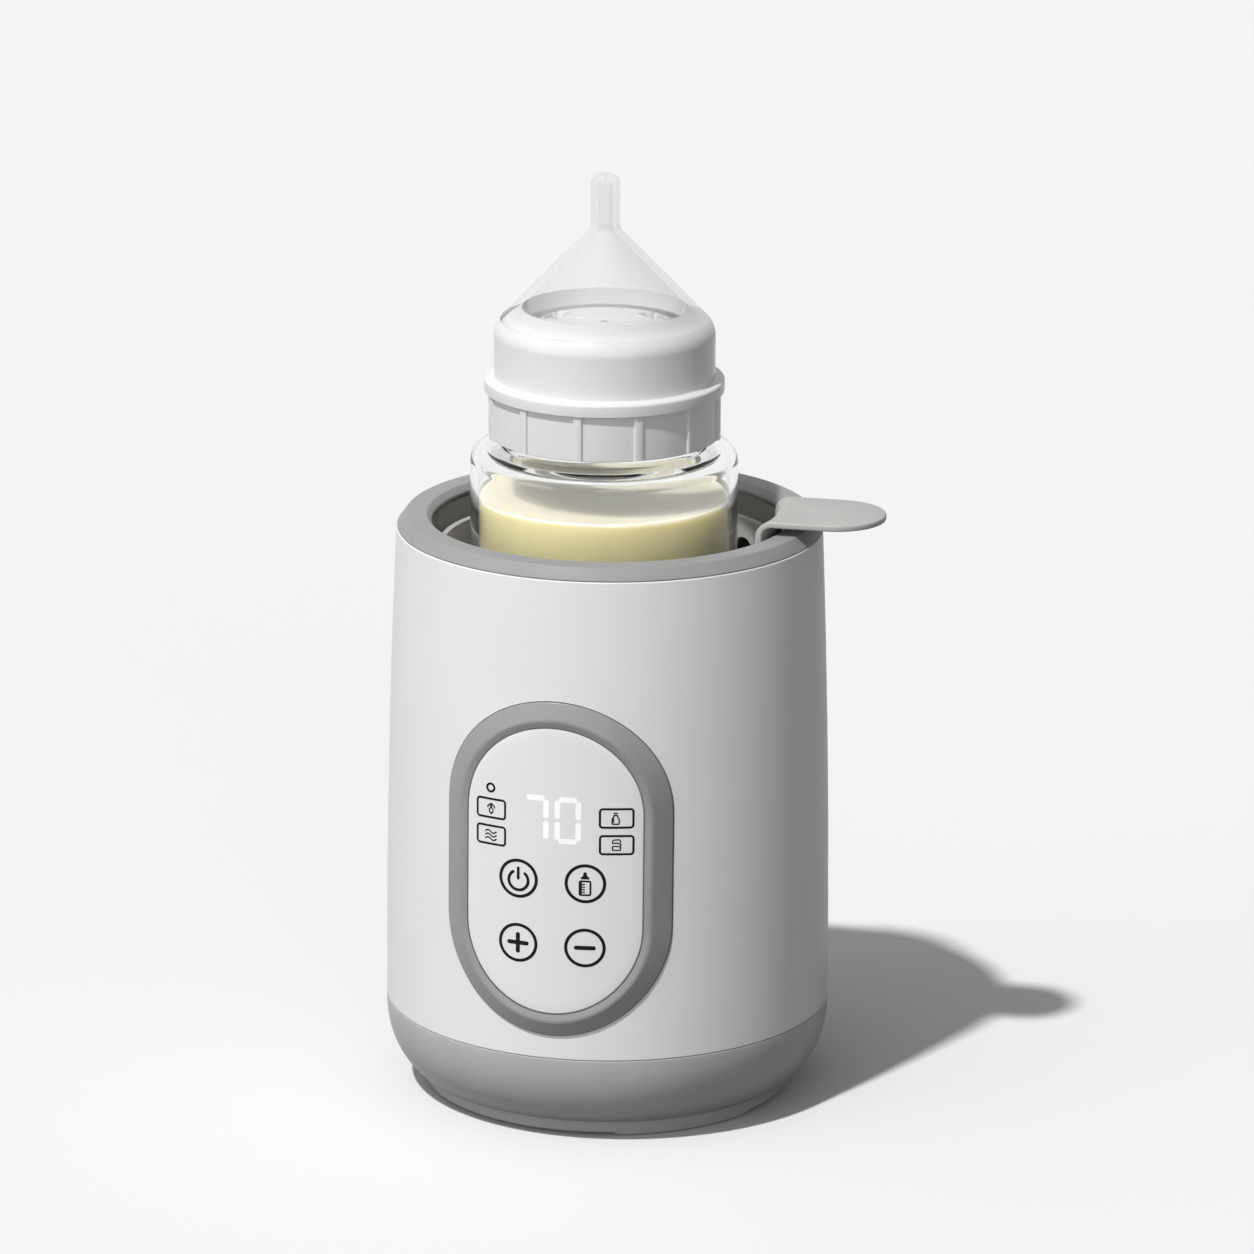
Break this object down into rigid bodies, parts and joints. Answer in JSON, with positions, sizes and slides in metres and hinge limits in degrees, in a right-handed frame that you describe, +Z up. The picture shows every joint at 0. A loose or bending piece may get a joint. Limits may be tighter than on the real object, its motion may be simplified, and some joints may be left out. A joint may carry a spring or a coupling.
{
  "type": "bottle warmer",
  "caption": "Round countertop warmer with a heated water well, a lift-out holed basket with a finger paddle, a touch panel, and a wide-neck feeding bottle.",
  "frame": {"origin": "on the body's axis, at the surface the warmer stands on", "axes": "+Z up along the body's axis; the touch panel faces -Y, turned 14.1 degrees towards -X; the basket's paddle points to +X, turned 12.5 degrees towards -Y; the power inlet faces +Y"},
  "size_m": [0.1279, 0.1174, 0.2411],
  "materials": {
    "white_shell": "glossy moulded",
    "grey_plastic": "satin silver-grey lacquer",
    "rubber_foot": "matte",
    "silver_basket": "satin silver-grey",
    "pot_coating": "dark non-stick coating",
    "seal_silicone": "matte silicone",
    "screw_steel": "zinc plated",
    "cast_aluminium": "as cast",
    "element_steel": "heat-tinted",
    "ceramic_brown": "moulded resin",
    "ceramic_white": "ceramic",
    "lens_plastic": "glossy, lightly translucent",
    "board_green": "solder mask",
    "display_black": "moulded",
    "lamp_clear": "clear",
    "spring_brass": "plated",
    "cable_grey": "flat cable",
    "transformer_tape": "wrapped tape",
    "relay_blue": "moulded",
    "film_yellow": "moulded",
    "can_navy": "sleeved can",
    "fuse_metal": "plated caps",
    "terminal_green": "moulded",
    "wire_brown": "insulated",
    "wire_white": "glass-fibre sleeve",
    "bottle_glass": "clear",
    "milk": "liquid",
    "disc_plastic": "translucent",
    "teat_silicone": "clear silicone",
    "collar_plastic": "glossy"
  },
  "bodies": {
    "warmer": {"outer_shell": "white_shell", "top_ring": "grey_plastic", "bottom_shell": "grey_plastic", "base_plate": "grey_plastic", "panel_bezel": "grey_plastic", "anti_slip_ring": "rubber_foot", "heating_pot": "pot_coating", "pot_seal": "seal_silicone", "shell_screws": "screw_steel", "base_plate_screws": "screw_steel", "pot_screws": "screw_steel", "cutout_screws": "screw_steel", "display_board_screws": "screw_steel", "power_board_screws": "screw_steel", "inlet_screws": "screw_steel", "heater_nuts": "screw_steel", "heater_plate": "cast_aluminium", "heater_element": "element_steel", "temperature_probe": "element_steel", "thermal_cutout": "ceramic_brown", "thermal_fuse": "ceramic_white", "panel_lens": "lens_plastic", "display_board": "board_green", "power_board": "board_green", "display_module": "display_black", "buzzer": "display_black", "power_inlet": "display_black", "indicator_lamps": "lamp_clear", "touch_springs": "spring_brass", "inlet_pins": "spring_brass", "ribbon_cable": "cable_grey", "transformer": "transformer_tape", "relay": "relay_blue", "film_capacitor": "film_yellow", "smoothing_capacitor": "can_navy", "mains_fuse": "fuse_metal", "mains_terminals": "terminal_green", "heater_terminals": "terminal_green", "mains_wires": "wire_brown", "heater_wires": "wire_white"},
    "basket": {"lift_basket": "silver_basket"},
    "bottle": {"bottle_glass": "bottle_glass", "milk": "milk"},
    "closure": {"vent_disc": "disc_plastic", "teat": "teat_silicone"},
    "collar": {"collar": "collar_plastic"}
  },
  "joints": [
    {"name": "basket_lift", "type": "slide", "parent": "warmer", "child": "basket", "axis": [0, 0, 1], "range_m": [0, 0.14]},
    {"name": "bottle_lift", "type": "slide", "parent": "basket", "child": "bottle", "axis": [0, 0, 1], "range_m": [0, 0.17]},
    {"name": "closure_lift", "type": "slide", "parent": "bottle", "child": "closure", "axis": [0, 0, 1], "range_m": [0, 0.0101]},
    {"name": "collar_turn", "type": "hinge", "parent": "closure", "child": "collar", "pos_m": [-0.0015, 0, 0], "axis": [0, 0, 1], "range_deg": [0, 450]}
  ],
  "couplings": [
    {"joint": "closure_lift", "follows": "collar_turn", "m_per_rad": 0.0012732}
  ]
}
